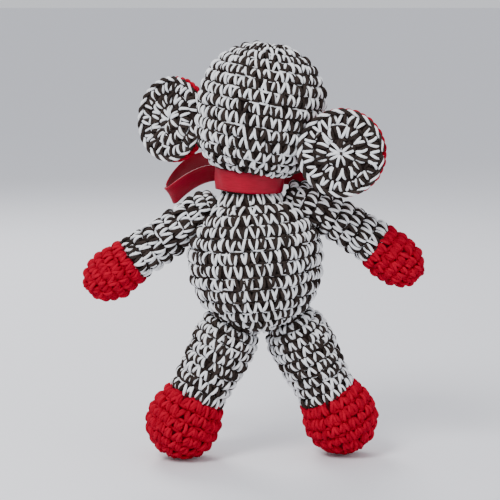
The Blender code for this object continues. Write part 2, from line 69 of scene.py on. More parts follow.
# Yarn and stitches: lengths in metres, turns in radians, the rest counts or shares
STITCH_WIDTH = 0.0055
ROW_HEIGHT = 0.0064
PLY_RADIUS = 0.00080
PLY_OFFSET = 0.00072
PLY_SIDES = 6
PLY_SHARE = (0.90, 1.08)
LEG_POINTS = 8
BAR_POINTS = 4
YARN_TAPER = 0.5
YARN_DEPTH = 0.0012
BASE_DEPTH = 0.0022
SINK_MOST = 0.0080
RIM_TURN = 0.0075
DIVE = 0.0017
ROW_DRIFT = 0.35
BAR_DEPTH = 0.0011
BAR_SIZE = 0.8
BAR_SHIFT = 0.52
LEG_PHASE = (1.35, 0.55)
BAR_PHASE = (2.3, 0.6)
TURNED_SHARE = 0.2
LEG_SLANTS = {-1: (-0.02, -0.40), 1: (0.09, 0.22)}
FLOOR_SOFT = 0.0010
ROOT_START = 0.0012
BASE_START = 0.0002
BODY_EDGE = 0.0015
STITCH_CLEAR = 0.0016
BASE_CLEAR = 0.0026
SEAM_OVERLAP = 0.0012
ROWS = {
    "head": 0.0058,
    "muzzle": 0.0056,
    "ear": 0.0062,
    "ear_rim": 0.0030,
    "arm": 0.0060,
    "leg": 0.0049,
    "end": 0.0056,
}
LIMB_WIDTH = {"arm": 0.0056, "leg": 0.0054}
LIMB_WILD = {"arm": 1.6, "leg": 1.2}
LIMB_APEX = {"arm": 1, "leg": -1}
END_WIDTH = 0.0056
END_YARN = (0.00105, 0.00070)
ROPE_YARN = (0.00085, 0.00060)

# How uneven the stitches are: shares of a stitch, except the two lifts, which are metres
NOISE = {
    "turn": 0.05,
    "row": 0.035,
    "scale": 0.08,
    "across": 0.04,
    "along": 0.05,
    "bow": 0.05,
    "lift": 0.00015,
    "bar_row": 0.06,
    "bar_lift": 0.0003,
}

# The plies of a strand by material number, and the number of the fabric behind, whose darker colour is
# painted shade between the stitches
WHITE_DARK = (0, 1)
DARK_ONLY = (1, 1)
SHADE_BEHIND = 2

# Ears, muzzle, eyes and stitched mouth, as the design has them
EAR_RADIUS = 0.0202
EAR_LAYER = 0.0029
EAR_DISH = 0.0012
EAR_PROFILE = (
    (0.0, 1.0),
    (0.3, 1.03),
    (0.55, 1.05),
    (0.75, 1.03),
    (0.86, 1.0),
    (0.96, 0.8),
    (1.0, 0.45),
    (0.99, 0.1),
)
EAR_FACE_END = 0.0196
EAR_RIM_START = 0.0206
EAR_ROPE = 0.0198
EAR_CLEAR = 0.0006
EAR_BASE_DEPTH = 0.0019
MUZZLE_AT = (0.0, -0.0265, -0.0095)
MUZZLE_SIZE = (0.0205, 0.0170, 0.0150)
MUZZLE_START = 0.0008
MUZZLE_SINK = 0.0012
MOUTH_HALF = 0.0120
MOUTH_DROP = 0.0030
MOUTH_CURVE = 0.0035
MOUTH_STITCHES = 5
NOSTRIL_OUT = 0.0030
NOSTRIL_UP = 0.0062
NOSTRIL_HALF = 0.0014
THREAD = (0.00060, 0.00042)
EYE_RADIUS = 0.0042
EYE_DOME = 0.0028
EYE_RIM = 0.0009
EYE_BACK = ((0.0036, -0.0006), (0.0040, -0.0002))

# The neck ribbon and its bow
RIBBON_WIDTH = 0.0100
RIBBON_THICK = 0.0005
RIBBON_COLUMNS = 11
SELVEDGE = 0.44
COLLAR_AT = (0.0020, 0.00504, 0.1356)
COLLAR_TILT = math.radians(-3.0)
COLLAR_RADIUS = 0.01635
KNOT_AT = (0.0020, -0.01616, 0.1345)
KNOT_SIZE = (0.0042, 0.0022, 0.0047)
LOOP_LENGTH = 0.0340
LOOP_HALF = 0.0070
LOOP_START = 0.0050
LOOP_LEAN = {"left": math.radians(35.0), "right": math.radians(8.0)}
LOOP_ARCH = {"left": 0.0070, "right": 0.0032}
LOOP_FALL = {"left": 0.0080, "right": 0.0035}
TAIL_LENGTH = 0.0300
TAIL_FALL = 0.9
TAIL_OUT = 0.0215
TAIL_LIFT = 0.0024
TAIL_SPLAY = (math.radians(15.0), math.radians(16.0))

# The view, from behind and a little above
CAMERA_LIFT = 8.0
CAMERA_DISTANCE = 0.90
CAMERA_TARGET = (0.0017, 0.005, 0.1015)

# Each light's name, place, width in metres and power in watts
LIGHTS = (
    ("key", (0.45, 0.65, 0.95), 0.45, 11),
    ("fill", (-0.8, 0.7, 0.35), 0.7, 2),
    ("front", (0.3, -0.8, 0.7), 0.5, 6),
)


def seeded(name):
    """Random draws of a piece's own, the same on each run."""
    return np.random.default_rng(sum(ord(letter) * (i + 1) for i, letter in enumerate(name)))


# ---------------------------------------------------------------- forms


class Form:
    """A turned CAD form about a straight or evenly bent axis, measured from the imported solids.

    Rows count from its start, and s is the distance along its surface from there.
    """

    def __init__(self, matrix, nodes=(), low=0.0, high=0.0, bend=0.0, from_top=True, outline=None):
        self.inverse = np.array(matrix.inverted())
        self.matrix = np.array(matrix)
        self.bend = bend
        if outline is None:
            heights = np.linspace(low, high, 150)
            radii = self.measure(nodes, heights)
            kept = radii > 0
            heights, radii = heights[kept], radii[kept]
            if from_top:
                heights, radii = heights[::-1], radii[::-1]
            kernel = np.hanning(9)[1:-1]
            kernel /= kernel.sum()
            edge = len(kernel) // 2
            smooth = np.convolve(np.pad(radii, edge, "edge"), kernel, "valid")
            smooth[:edge] = radii[:edge]
            smooth[-edge:] = radii[-edge:]
            radii = smooth
        else:
            heights, radii = np.array(outline).T
        self.heights, self.radii = heights, radii
        steps = np.hypot(np.diff(self.heights), np.diff(self.radii))
        self.s = np.concatenate([[0.0], np.cumsum(steps)])
        self.length = self.s[-1]

    def axis_at(self, height):
        """The middle of the form at a height, and how far it has turned, in its own frame."""
        height = np.asarray(height, float)
        if abs(self.bend) < 1e-6:
            return np.stack([0 * height, 0 * height, height], -1), 0 * height
        turn = np.where(height < 0, self.bend * -height / ARM_LENGTH, 0.0)
        radius = ARM_LENGTH / self.bend
        x = radius * (1 - np.cos(turn))
        z = np.where(height < 0, -radius * np.sin(turn), height)
        return np.stack([x, 0 * height, z], -1), turn

    def measure(self, nodes, heights):
        """The largest radius of the solids at each height, over all directions."""
        trees = []
        for node in nodes:
            mesh = frame["nodes"][node].data
            points = np.array([v.co for v in mesh.vertices])
            local = points @ self.inverse[:3, :3].T + self.inverse[:3, 3]
            faces = [tuple(p.vertices) for p in mesh.polygons]
            trees.append(BVHTree.FromPolygons([tuple(p) for p in local], faces))
        radii = np.zeros(len(heights))
        for i, height in enumerate(heights):
            middle, turn = self.axis_at(height)
            for angle in np.arange(0.0, TAU, TAU / 48):
                level = math.cos(angle)
                out = Vector((level * math.cos(turn), math.sin(angle), level * math.sin(turn)))
                start = Vector(middle) + out * RAY_REACH
                for tree in trees:
                    hit = tree.ray_cast(start, -out, RAY_REACH)
                    if hit[0] is not None:
                        radii[i] = max(radii[i], (hit[0] - Vector(middle)).length)
        return radii

    def at(self, angle, s, lift=0.0):
        """World points and outward normals of the surface at an angle round it and a distance along it."""
        s = np.asarray(s, float)
        radius = np.interp(s, self.s, self.radii)
        height = np.interp(s, self.s, self.heights)
        before, after = s - SLOPE_REACH, s + SLOPE_REACH
        spread = np.interp(after, self.s, self.radii) - np.interp(before, self.s, self.radii)
        rise = np.interp(after, self.s, self.heights) - np.interp(before, self.s, self.heights)
        down = 1.0 if self.heights[0] > self.heights[-1] else -1.0
        normal_r, normal_z = -down * rise, down * spread
        size = np.hypot(normal_r, normal_z) + 1e-12
        normal_r, normal_z = normal_r / size, normal_z / size
        middle, turn = self.axis_at(height)
        cos, sin = np.cos(angle), np.sin(angle)

        def turned(x, y, z):
            turned_x = x * np.cos(turn) - z * np.sin(turn)
            turned_z = x * np.sin(turn) + z * np.cos(turn)
            return np.stack([turned_x, y, turned_z], -1)

        normal = unit(turned(normal_r * cos, normal_r * sin, normal_z) @ self.inverse[:3, :3])
        point = middle + turned(radius * cos, radius * sin, 0 * radius)
        point = point @ self.matrix[:3, :3].T + self.matrix[:3, 3]
        return point + normal * np.asarray(lift)[..., None], normal

    def depth(self, points):
        """How deep world points are inside this form, near its straight start, or negative outside it."""
        local = points @ self.inverse[:3, :3].T + self.inverse[:3, 3]
        order = np.argsort(self.heights)
        heights, radii = self.heights[order], self.radii[order]
        reach = np.interp(local[..., 2], heights, radii)
        depth = reach - np.hypot(local[..., 0], local[..., 1])
        over = np.maximum(local[..., 2] - heights[-1], heights[0] - local[..., 2])
        return np.where(over > 0, np.minimum(depth, -over), depth)


def frame_of(at, *turns):
    matrix = Matrix.Translation(at)
    for angle, axis in turns:
        matrix = matrix @ Matrix.Rotation(angle, 4, axis)
    return matrix


def axis_frame(at, up):
    return Matrix.Translation(at) @ Vector(up).to_track_quat("Z", "Y").to_matrix().to_4x4()


def middle_of(node):
    low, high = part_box(node)
    return (low + high) / 2


# ---------------------------------------------------------------- meshes


class Pile:
    """Gathers points and faces, with a material number a face and strand coordinates a corner."""

    def __init__(self):
        self.points, self.faces, self.materials, self.uvs, self.count = [], [], [], [], 0

    def add(self, points, *groups):
        """Each group is (faces, materials, uvs), and its faces count from the first of these points."""
        points = points.reshape(-1, 3)
        self.points.append(points)
        for faces, material, uvs in groups:
            self.faces.append(faces + self.count)
            self.materials.append(np.broadcast_to(material, (len(faces),)).astype(np.int32))
            self.uvs.append(uvs)
        self.count += len(points)

    def mesh(self, name, materials):
        sizes = np.concatenate([np.full(len(f), f.shape[1]) for f in self.faces])
        corners = np.concatenate([f.reshape(-1) for f in self.faces])
        mesh = bpy.data.meshes.new(name)
        mesh.vertices.add(self.count)
        mesh.vertices.foreach_set("co", np.concatenate(self.points).astype(np.float32).ravel())
        mesh.loops.add(len(corners))
        mesh.loops.foreach_set("vertex_index", corners.astype(np.int32))
        mesh.polygons.add(len(sizes))
        starts = np.concatenate([[0], np.cumsum(sizes)[:-1]])
        mesh.polygons.foreach_set("loop_start", starts.astype(np.int32))
        mesh.polygons.foreach_set("material_index", np.concatenate(self.materials))
        layer = mesh.uv_layers.new(name="strand")
        uvs = np.concatenate([u.reshape(-1, 2) for u in self.uvs])
        layer.data.foreach_set("uv", uvs.astype(np.float32).ravel())
        mesh.update(calc_edges=True)
        mesh.validate()
        mesh.shade_smooth()
        for material in materials:
            mesh.materials.append(material)
        obj = bpy.data.objects.new(name, mesh)
        bpy.context.scene.collection.objects.link(obj)
        return obj


def grid_quads(rows, around):
    """The faces of a closed band of rings, and the row and column of each."""
    i, j = np.meshgrid(np.arange(rows - 1), np.arange(around), indexing="ij")
    n = (j + 1) % around
    corners = [i * around + j, i * around + n, (i + 1) * around + n, (i + 1) * around + j]
    return np.stack(corners, -1).reshape(-1, 4), i, j


def unit(vectors):
    return vectors / (np.linalg.norm(vectors, axis=-1, keepdims=True) + 1e-12)


def add_tubes(pile, centres, normals, radii, material):
    """Tubes along many centre lines at once, closed at both ends, with their faces looking inwards.

    centres is (tubes, points, 3).
    """
    tubes, count = centres.shape[:2]
    sides = PLY_SIDES
    along = unit(np.gradient(centres, axis=1))
    across = unit(np.cross(along, normals))
    up = np.cross(across, along)
    angle = np.arange(sides) * TAU / sides
    ring = np.cos(angle)[:, None] * up[:, :, None] + np.sin(angle)[:, None] * across[:, :, None]
    points = centres[:, :, None] + ring * radii[:, :, None, None]
    step = np.linalg.norm(np.diff(centres, axis=1), axis=-1)
    run = np.concatenate([np.zeros((tubes, 1)), np.cumsum(step, axis=1)], axis=1) / MM
    quads, i, j = grid_quads(count, sides)
    offset = (np.arange(tubes) * count * sides)[:, None, None]
    faces = (quads[None] + offset).reshape(-1, 4)[:, ::-1]
    u = np.stack([run[:, i], run[:, i], run[:, i + 1], run[:, i + 1]], -1)
    v = np.broadcast_to(np.stack([j, j + 1, j + 1, j], -1) / sides, u.shape)
    uvs = np.stack([u, v], -1).reshape(tubes, -1, 4, 2)[:, :, ::-1]
    first = np.arange(sides)
    last = first[::-1] + (count - 1) * sides
    caps = np.concatenate([first[None] + offset[:, 0], last[None] + offset[:, 0]])
    pile.add(points, (faces, material, uvs), (caps, material, np.zeros(caps.shape + (2,))))


def add_yarn(pile, centres, normals, phase, twist, materials, radius=PLY_RADIUS, offset=PLY_OFFSET):
    """Plied yarn along many centre lines: each ply winds round the middle by twist from end to end."""
    tubes, count = centres.shape[:2]
    t = np.linspace(-1, 1, count)
    along = unit(np.gradient(centres, axis=1))
    across = unit(np.cross(along, normals))
    up = np.cross(across, along)
    shape = 1 - YARN_TAPER * np.abs(t) ** 3
    plies = len(materials)
    for ply, material in enumerate(materials):
        turn = phase[:, None] + twist[:, None] * t[None] / 2 + TAU * ply / plies
        aside = np.cos(turn)[..., None] * up + np.sin(turn)[..., None] * across
        middle = centres + offset * shape[None, :, None] * aside
        radii = np.broadcast_to(radius * PLY_SHARE[material] * shape, (tubes, count))
        add_tubes(pile, middle, up, radii, material)


def add_base(pile, form, start, end, depth, shape=None, around=72, rows=40):
    """The fabric behind the stitches, as one closed body, coloured darker than the yarn as painted shade in
    the gaps between them.
    """
    s = np.linspace(start, end, rows)
    angle = np.arange(around) * TAU / around
    s_grid, angle_grid = np.meshgrid(s, angle, indexing="ij")
    points, normals = form.at(angle_grid, s_grid, np.full(s_grid.shape, -depth))
    if shape:
        points = shape(points, normals)
    faces, i, j = grid_quads(rows, around)
    u = np.stack([s[i], s[i], s[i + 1], s[i + 1]], -1).reshape(-1, 4) / MM
    v = np.stack([j, j + 1, j + 1, j], -1).reshape(-1, 4) / around
    first, last = np.arange(around), np.arange(around) + (rows - 1) * around
    caps = np.stack([first[::-1], last])
    if form.heights[0] > form.heights[-1]:
        faces, caps = faces[:, ::-1], caps[:, ::-1]
    uvs = np.stack([u, v], -1)
    pile.add(points, (faces, SHADE_BEHIND, uvs), (caps, SHADE_BEHIND, np.zeros(caps.shape + (2,))))


def add_ribbon(pile, middle, across, crown, width=RIBBON_WIDTH, ring=False):
    """A strip of ribbon along a path. crown lifts it along its normal, for each row and column.

    It returns the length of the path.
    """
    rows, columns = len(middle), RIBBON_COLUMNS
    if ring:
        along = unit(np.roll(middle, -1, axis=0) - np.roll(middle, 1, axis=0))
    else:
        along = unit(np.gradient(middle, axis=0))
    across = unit(across - along * np.sum(across * along, -1, keepdims=True))
    normal = np.cross(along, across)
    v = np.linspace(-0.5, 0.5, columns)
    wide = np.broadcast_to(width, (rows,))
    points = middle[:, None] + across[:, None] * (v[None] * wide[:, None])[..., None]
    points = points + normal[:, None] * crown[..., None]
    woven = np.where(np.abs(v) > SELVEDGE, 1.1, 0.8)
    half = RIBBON_THICK / 2 * woven[None, :, None] * normal[:, None]
    corner = np.arange(rows * columns).reshape(rows, columns)
    under = corner + rows * columns
    if ring:
        corner, under = np.vstack([corner, corner[:1]]), np.vstack([under, under[:1]])
    quads = [
        (corner[:-1, :-1], corner[1:, :-1], corner[1:, 1:], corner[:-1, 1:]),
        (under[:-1, :-1], under[:-1, 1:], under[1:, 1:], under[1:, :-1]),
        (corner[:-1, :1], under[:-1, :1], under[1:, :1], corner[1:, :1]),
        (corner[:-1, -1:], corner[1:, -1:], under[1:, -1:], under[:-1, -1:]),
    ]
    if not ring:
        quads.append((corner[:1, :-1], corner[:1, 1:], under[:1, 1:], under[:1, :-1]))
        quads.append((corner[-1:, :-1], under[-1:, :-1], under[-1:, 1:], corner[-1:, 1:]))
    faces = np.concatenate([np.stack(quad, -1).reshape(-1, 4) for quad in quads])
    step = np.linalg.norm(np.diff(middle, axis=0), axis=-1)
    run = np.concatenate([[0.0], np.cumsum(step)]) / MM
    flat = np.stack(np.broadcast_arrays(run[:, None], v[None] * RIBBON_WIDTH / MM), -1).reshape(-1, 2)
    pile.add(np.stack([points + half, points - half]), (faces, 0, np.concatenate([flat, flat])[faces]))
    return float(run[-1] * MM)


def add_turned(pile, matrix, outline, around=48):
    """A turned solid: outline is (radius, height) from its lower middle to its upper middle."""
    outline = np.array(outline)
    angle = np.arange(around) * TAU / around
    out, height = outline[:, :1], outline[:, 1:] + 0 * angle
    rings = np.stack([out * np.cos(angle), out * np.sin(angle), height], -1)
    matrix = np.array(matrix)
    points = rings.reshape(-1, 3) @ matrix[:3, :3].T + matrix[:3, 3]
    faces = grid_quads(len(outline), around)[0]
    first = np.arange(around)[::-1]
    last = np.arange(around) + (len(outline) - 1) * around
    caps = np.stack([first, last])
    pile.add(points, (faces, 0, np.zeros(faces.shape + (2,))), (caps, 0, np.zeros(caps.shape + (2,))))


# ---------------------------------------------------------------- crochet


def leg_template(side, slant):
    """One leg of a V: (across, along, drop) as shares of the stitch, from its apex to its open end."""
    t = np.linspace(0, 1, LEG_POINTS)
    start, reach = LEG_SLANTS[side]
    across = slant * (start + reach * t**0.85)
    along = -0.47 + 0.93 * t
    drop = 0.9 * (1 - t) ** 5 + t**5
    drop[0] = 1.1
    drop[-1] = 1.1
    return across, along, drop


def crochet(
    pile,
    form,
    start,
    end,
    plies,
    name,
    apex=-1,
    width=STITCH_WIDTH,
    height=ROW_HEIGHT,
    shape=None,
    keep=None,
    slant=1,
    radius=PLY_RADIUS,
    offset=PLY_OFFSET,
    wild=1.0,
):
    """Rows of single crochet from start to end along a form, each stitch a V of two legs and a bar behind.

    apex is the way each V points along the form, slant the way it leans, and wild how uneven the work is.
    shape moves the finished centre lines, and keep says which of them stay.
    """
    rng = seeded(name)
    rows = max(1, round((end - start) / height))
    height = (end - start) / rows
    centres, normals = [], []
    bar_centres, bar_normals = [], []
    for row in range(rows):
        s_row = start + (row + 0.5) * height
        ring = np.interp(s_row, form.s, form.radii)
        count = max(6, round(TAU * ring / width))
        turn = (row * ROW_DRIFT + np.arange(count)) * TAU / count + rng.uniform(-0.2, 0.2)
        turn = turn + rng.normal(0, NOISE["turn"] * wild, count) * TAU / count
        s_stitch = s_row + rng.normal(0, NOISE["row"] * wild, count) * height
        scale = rng.normal(1, NOISE["scale"] * wild, count)
        wide = TAU / count
        for side in (-1, 1):
            across, along, drop = leg_template(side, slant)
            across = across[None] * scale[:, None] + rng.normal(0, NOISE["across"] * wild, (count, 1))
            along = along[None] * rng.normal(1, NOISE["along"] * wild, (count, 1)) * -apex
            bow = rng.normal(0, NOISE["bow"], (count, 1)) * (1 - np.linspace(-1, 1, LEG_POINTS) ** 2)
            angle = turn[:, None] + (across + bow) * wide
            s = np.clip(s_stitch[:, None] + along * height, start - 0.3 * height, end + 0.45 * height)
            high = -YARN_DEPTH - DIVE * drop[None] + rng.normal(0, NOISE["lift"] * wild, (count, 1))
            point, normal = form.at(angle, s, np.broadcast_to(high, angle.shape))
            centres.append(point)
            normals.append(normal)
        t = np.linspace(-0.5, 0.5, BAR_POINTS)
        angle = turn[:, None] + (t[None] + 0.5) * wide
        shift = rng.normal(0, NOISE["bar_row"], (count, 1))
        s = s_stitch[:, None] + apex * BAR_SHIFT * height + shift * height + 0 * angle
        lift = -YARN_DEPTH - BAR_DEPTH + rng.normal(0, NOISE["bar_lift"], (count, 1)) + 0 * angle
        point, normal = form.at(angle, s, lift)
        bar_centres.append(point)
        bar_normals.append(normal)
    sets = [(centres, normals, 1.0, LEG_PHASE), (bar_centres, bar_normals, BAR_SIZE, BAR_PHASE)]
    for centres, normals, size, side_on in sets:
        centres, normals = np.concatenate(centres), np.concatenate(normals)
        if shape:
            centres = shape(centres, normals)
        if keep is not None:
            kept = keep(centres)
            centres, normals = centres[kept], normals[kept]
        tubes = len(centres)
        facing = rng.choice([-1, 1], tubes, p=(TURNED_SHARE, 1 - TURNED_SHARE))
        turn = facing * rng.normal(side_on[0], side_on[1], tubes)
        twist = rng.normal(1.3, 0.5, tubes)
        add_yarn(pile, centres, normals, turn, twist, plies, radius * size, offset * size)


# ---------------------------------------------------------------- materials


def new_material(name):
    material = bpy.data.materials.new(name)
    material.use_nodes = True
    nodes = material.node_tree.nodes
    shader = nodes["Principled BSDF"]
    return material, nodes, material.node_tree.links, shader


def yarn_material(name, colour, spread):
    """Spun yarn: fibres that run round the strand, and a colour that wanders a little."""
    material, nodes, links, shader = new_material(name)
    shader.inputs["Roughness"].default_value = 0.95
    shader.inputs["Specular IOR Level"].default_value = 0.1
    coords = nodes.new("ShaderNodeUVMap")
    coords.uv_map = "strand"
    stretch = nodes.new("ShaderNodeMapping")
    stretch.inputs["Scale"].default_value = (0.9, 9.0, 1.0)
    stretch.inputs["Rotation"].default_value = (0.0, 0.0, 0.5)
    links.new(coords.outputs["UV"], stretch.inputs["Vector"])
    fibres = nodes.new("ShaderNodeTexNoise")
    fibres.inputs["Scale"].default_value = 2.2
    fibres.inputs["Detail"].default_value = 3.0
    links.new(stretch.outputs["Vector"], fibres.inputs["Vector"])
    place = nodes.new("ShaderNodeTexCoord")
    patches = nodes.new("ShaderNodeTexNoise")
    patches.inputs["Scale"].default_value = 260.0
    patches.inputs["Detail"].default_value = 2.0
    links.new(place.outputs["Object"], patches.inputs["Vector"])
    both = nodes.new("ShaderNodeMix")
    both.data_type = "FLOAT"
    both.inputs[0].default_value = 0.5
    links.new(fibres.outputs["Fac"], both.inputs[2])
    links.new(patches.outputs["Fac"], both.inputs[3])
    ramp = nodes.new("ShaderNodeValToRGB")
    ramp.color_ramp.elements[0].position = 0.35
    ramp.color_ramp.elements[1].position = 0.65
    ramp.color_ramp.elements[0].color = (*[c * (1 - spread) for c in colour], 1)
    ramp.color_ramp.elements[1].color = (*[min(1.0, c * (1 + spread)) for c in colour], 1)
    links.new(both.outputs[0], ramp.inputs["Fac"])
    links.new(ramp.outputs["Color"], shader.inputs["Base Color"])
    bump = nodes.new("ShaderNodeBump")
    bump.inputs["Strength"].default_value = 0.3
    bump.inputs["Distance"].default_value = 0.0003
    links.new(fibres.outputs["Fac"], bump.inputs["Height"])
    links.new(bump.outputs["Normal"], shader.inputs["Normal"])
    return material


WHITE = yarn_material("white_ply", (0.86, 0.87, 0.89), 0.12)
DARK = yarn_material("dark_ply", (0.028, 0.020, 0.017), 0.6)
# The fabric behind the marl stitches is near black, darker than either ply: painted shade in the gaps
# between the stitches
MARL_SHADE_BACK = yarn_material("marl_painted_shade", (0.015, 0.009, 0.008), 0.5)
RED = yarn_material("red_ply", (0.40, 0.0, 0.018), 0.16)
RED_TOO = yarn_material("red_ply_second", (0.31, 0.0, 0.013), 0.18)
# A much darker red behind the red stitches: painted shade in the gaps between them
RED_SHADE_BACK = yarn_material("red_painted_shade", (0.09, 0.0, 0.004), 0.3)
BLACK = yarn_material("black_embroidery", (0.012, 0.011, 0.012), 0.4)


def satin_material():
    """Woven satin: ribs along the ribbon, a directional gloss and slow changes of shade."""
    material, nodes, links, shader = new_material("red_satin")
    shader.inputs["Roughness"].default_value = 0.38
    shader.inputs["Specular IOR Level"].default_value = 0.2
    shader.inputs["Anisotropic"].default_value = 0.6
    coords = nodes.new("ShaderNodeUVMap")
    coords.uv_map = "strand"
    ribs = nodes.new("ShaderNodeTexWave")
    ribs.bands_direction = "Y"
    ribs.inputs["Scale"].default_value = 0.9
    ribs.inputs["Distortion"].default_value = 0.6
    ribs.inputs["Detail"].default_value = 2.0
    links.new(coords.outputs["UV"], ribs.inputs["Vector"])
    stretch = nodes.new("ShaderNodeMapping")
    stretch.inputs["Scale"].default_value = (0.12, 1.6, 1.0)
    links.new(coords.outputs["UV"], stretch.inputs["Vector"])
    shade = nodes.new("ShaderNodeTexNoise")
    shade.inputs["Scale"].default_value = 1.4
    shade.inputs["Detail"].default_value = 4.0
    links.new(stretch.outputs["Vector"], shade.inputs["Vector"])
    ramp = nodes.new("ShaderNodeValToRGB")
    ramp.color_ramp.elements[0].position = 0.3
    ramp.color_ramp.elements[1].position = 0.7
    ramp.color_ramp.elements[0].color = (0.25, 0.0, 0.012, 1)
    ramp.color_ramp.elements[1].color = (0.36, 0.0, 0.020, 1)
    links.new(shade.outputs["Fac"], ramp.inputs["Fac"])
    links.new(ramp.outputs["Color"], shader.inputs["Base Color"])
    bump = nodes.new("ShaderNodeBump")
    bump.inputs["Strength"].default_value = 0.25
    bump.inputs["Distance"].default_value = 0.0001
    links.new(ribs.outputs["Fac"], bump.inputs["Height"])
    links.new(bump.outputs["Normal"], shader.inputs["Normal"])
    return material


def eye_material():
    """Polished black plastic with faint handling marks."""
    material, nodes, links, shader = new_material("black_eye_plastic")
    shader.inputs["Base Color"].default_value = (0.004, 0.004, 0.005, 1)
    place = nodes.new("ShaderNodeTexCoord")
    marks = nodes.new("ShaderNodeTexNoise")
    marks.inputs["Scale"].default_value = 900.0
    marks.inputs["Detail"].default_value = 4.0
    links.new(place.outputs["Object"], marks.inputs["Vector"])
    rough = nodes.new("ShaderNodeMapRange")
    rough.inputs["To Min"].default_value = 0.06
    rough.inputs["To Max"].default_value = 0.20
    links.new(marks.outputs["Fac"], rough.inputs["Value"])
    links.new(rough.outputs["Result"], shader.inputs["Roughness"])
    return material


SATIN = satin_material()
EYE = eye_material()
MARL_MATERIALS = [WHITE, DARK, MARL_SHADE_BACK]
RED_MATERIALS = [RED, RED_TOO, RED_SHADE_BACK]

# ---------------------------------------------------------------- the forms of this toy

UP = Vector(JOINTS["head_turn"]["axis"])
NECK = Vector(JOINTS["head_turn"]["pos_m"])
EYES = (middle_of("eye_left") + middle_of("eye_right")) / 2
FORWARD = (EYES - NECK) - UP * (EYES - NECK).dot(UP)
FORWARD.normalize()
RIGHTWARD = FORWARD.cross(UP)
HEAD_CENTRE = NECK + UP * 0.033

# A mirrored frame: its x runs to the toy's right, so the muzzle's fabric behind is inside out
FACE = Matrix((RIGHTWARD, -FORWARD, UP)).transposed().to_4x4()
FACE.translation = HEAD_CENTRE

BODY = Form(frame_of(BODY_AT, (BODY_LEAN, "Y")), ["body_cover"], -0.0390, 0.046, from_top=False)
HEAD = Form(axis_frame(NECK, UP), ["head_cover"], 0.0004, 0.0665)
ARMS, LEGS = {}, {}
for side in SIDES:
    shoulder = JOINTS[f"arm_{side}_lift"]["pos_m"]
    matrix = frame_of(shoulder, (-ARM_OUT[side], "Y"))
    ARMS[side] = Form(matrix, [f"arm_sleeve_{side}", f"hand_{side}"], -0.0696, 0.0106, ARM_BEND[side])
    hip = Vector(JOINTS[f"leg_{side}_swing"]["pos_m"])
    matrix = axis_frame(hip, hip - Vector(FEET[side]))
    LEGS[side] = Form(matrix, [f"leg_sleeve_{side}", f"foot_{side}"], -0.0646, 0.0166)
LIMBS = [*ARMS.values(), *LEGS.values()]


def ear_form(side, facing):
    """A layer of an ear, from the middle of its open face out to its rim."""
    mesh = frame["nodes"][f"ear_back_{side}"].data
    points = np.array([v.co for v in mesh.vertices])
    normal = Vector(np.linalg.svd(points - points.mean(0))[2][2])
    if normal.y < 0:
        normal = -normal
    root = Vector(JOINTS[f"ear_{side}_flex"]["pos_m"])
    outward = middle_of(f"ear_back_{side}") - root
    outward = (outward - normal * outward.dot(normal)).normalized()
    middle = root + outward * EAR_RADIUS
    outline = []
    for share, rise in EAR_PROFILE:
        dish = -EAR_DISH * share * share * facing
        outline.append((dish + EAR_LAYER * rise, EAR_RADIUS * share))
    return Form(axis_frame(middle, normal * facing), outline=outline)


def muzzle_form():
    """The muzzle's egg shape, from the middle of its front back towards the head."""
    size = MUZZLE_SIZE
    arc = np.linspace(0, math.pi * 0.8, 60)
    outline = [(size[1] * math.cos(t), size[1] * math.sin(t)) for t in arc]
    flat = Matrix.Diagonal((size[0] / size[1], size[2] / size[1], 1.0, 1.0))
    matrix = FACE @ Matrix.Translation(MUZZLE_AT) @ Matrix.Rotation(math.pi / 2, 4, "X") @ flat
    return Form(matrix, outline=outline)


MUZZLE = muzzle_form()


def sunk(forms, clear):
    """Moves points inwards along their normals until they clear other forms."""

    def shape(points, normals):
        deepest = np.max([form.depth(points) for form in forms], axis=0)
        return points - normals * np.clip(deepest + clear, 0, None)[..., None]

    return shape


def middle_points(centres):
    return centres[:, centres.shape[1] // 2]


def outside(forms, most):
    """Keeps the strands whose middles are less than most deep in other forms."""

    def keep(centres):
        middle = middle_points(centres)
        return np.max([form.depth(middle) for form in forms], axis=0) < most

    return keep


def outside_muzzle(centres):
    """Which of the strands lie outside the muzzle, or no more than a little inside it."""
    middle = middle_points(centres)
    local = middle @ MUZZLE.inverse[:3, :3].T + MUZZLE.inverse[:3, 3]
    return np.linalg.norm(local, axis=-1) > MUZZLE_SIZE[1] - 0.0015


def on_floor(points):
    """Flattens what would go below the surface that the toy stands on."""
    z = points[..., 2]
    soft = np.where(z > FLOOR_SOFT, z, FLOOR_SOFT * np.exp((z - FLOOR_SOFT) / FLOOR_SOFT))
    return np.concatenate([points[..., :2], soft[..., None]], -1)


def settled(pile):
    """Presses a finished piece's points onto the floor."""
    pile.points = [on_floor(points) for points in pile.points]


def placed(obj, body, replaced):
    """Gives a piece its body and hides the CAD nodes it stands for."""
    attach(obj, body)
    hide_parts(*replaced)
    return obj


# ---------------------------------------------------------------- the crocheted parts


def make_body():
    pile = Pile()
    shape = sunk(LIMBS, STITCH_CLEAR)
    keep = outside(LIMBS + [HEAD], SINK_MOST)
    crochet(pile, BODY, BODY_EDGE, BODY.length - BODY_EDGE, WHITE_DARK, "body", shape=shape, keep=keep)
    add_base(pile, BODY, BASE_START, BODY.length, BASE_DEPTH, sunk(LIMBS, BASE_CLEAR))
    nodes = ["body_cover", "body_stuffing"]
    placed(pile.mesh("body_crochet", MARL_MATERIALS), "torso", nodes)


def make_head():
    pile = Pile()
    end = HEAD.length - 0.003
    crochet(pile, HEAD, ROOT_START, end, WHITE_DARK, "head",
            height=ROWS["head"], keep=outside_muzzle, slant=-1)
    add_base(pile, HEAD, BASE_START, HEAD.length, BASE_DEPTH)
    nodes = ["head_cover", "head_stuffing", "eye_washer_left", "eye_washer_right"]
    placed(pile.mesh("head_crochet", MARL_MATERIALS), "head", nodes)


